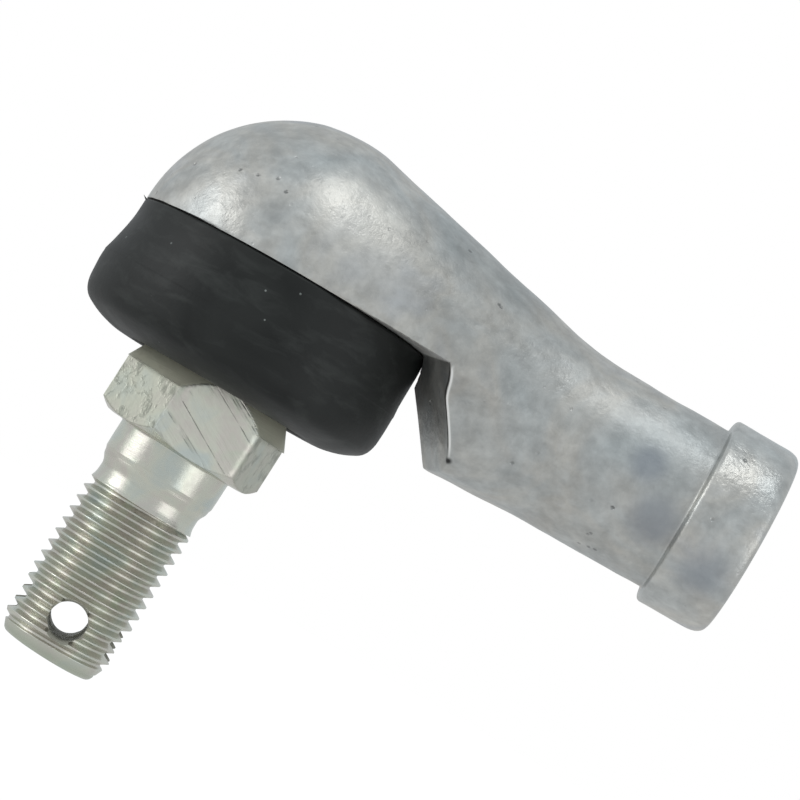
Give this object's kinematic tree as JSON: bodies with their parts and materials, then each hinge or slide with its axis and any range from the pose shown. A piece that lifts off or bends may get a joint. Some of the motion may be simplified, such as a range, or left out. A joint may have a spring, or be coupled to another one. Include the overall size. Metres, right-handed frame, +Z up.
{
  "type": "tie rod end",
  "caption": "Die-cast ball joint with a threaded arm socket, a rubber dust boot and a threaded ball stud with a hexagon and cross-drilled holes.",
  "frame": {"origin": "centre of the arm's open threaded socket, in the plane of the socket mouth", "axes": "+X out of the socket along the arm's axis, +Z up through the dome, away from the stud; the stud hangs down with the ball centre at x = -0.0434"},
  "size_m": [0.0574, 0.0274, 0.0489],
  "materials": {
    "zinc_casting": "raw zinc die casting, dull grey with flow marks",
    "plated_steel": "machined steel with a thin pale yellow zinc plating",
    "spring_steel": "dark oiled spring steel",
    "acetal": "moulded natural acetal",
    "rubber": "satin black moulded rubber"
  },
  "bodies": {
    "housing": {"housing": "zinc_casting", "preload_spring": "spring_steel", "pressure_disc": "plated_steel", "backing_washer": "plated_steel", "retaining_ring": "spring_steel"},
    "bearing": {"upper_ball_seat": "acetal", "lower_ball_seat": "acetal", "dust_boot": "rubber", "boot_band": "spring_steel"},
    "boot_lip": {"boot_lip_ring": "spring_steel"},
    "stud": {"ball_stud": "plated_steel"}
  },
  "joints": [
    {"name": "bearing_turn", "type": "hinge", "parent": "housing", "child": "bearing", "pos_m": [-0.0434, 0, 0], "axis": [0, 0, 1], "continuous": true},
    {"name": "stud_tilt", "type": "hinge", "parent": "bearing", "child": "boot_lip", "pos_m": [-0.0434, 0, 0], "axis": [0, 1, 0], "range_deg": [-20.7, 15.3], "deforming": ["dust_boot"]},
    {"name": "stud_spin", "type": "hinge", "parent": "boot_lip", "child": "stud", "pos_m": [-0.0434, 0, 0], "axis": [0.0471, 0, 0.9989], "continuous": true}
  ]
}
